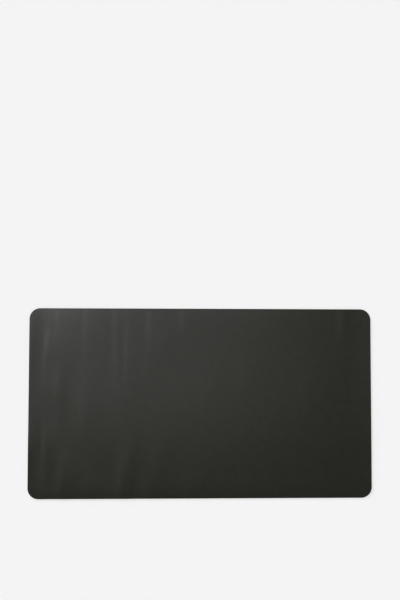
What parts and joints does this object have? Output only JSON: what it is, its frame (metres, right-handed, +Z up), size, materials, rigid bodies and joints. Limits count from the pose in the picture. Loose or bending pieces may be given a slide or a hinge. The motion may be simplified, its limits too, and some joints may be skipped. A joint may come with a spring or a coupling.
{
  "type": "desk mat",
  "caption": "Thin rectangular desk mat with rounded corners: a smooth low-sheen faux-leather top for mouse and keyboard, bonded to a soft suede underside that protects the desk.",
  "frame": {"origin": "centre of the underside, where the mat rests on the desk", "axes": "+X along the long side, +Y towards the back of the desk, +Z up through the thickness"},
  "size_m": [0.8, 0.441, 0.002],
  "materials": {
    "grain_skin": "satin",
    "backing_cloth": "matte",
    "glue_film": "satin",
    "core_sheet": "matte",
    "suede_base": "matte",
    "edge_paint": "satin"
  },
  "bodies": {
    "root": {"grain_skin": "grain_skin", "backing_cloth": "backing_cloth", "upper_glue_film": "glue_film", "core_sheet": "core_sheet", "lower_glue_film": "glue_film", "suede_base": "suede_base", "edge_paint": "edge_paint"}
  },
  "joints": []
}
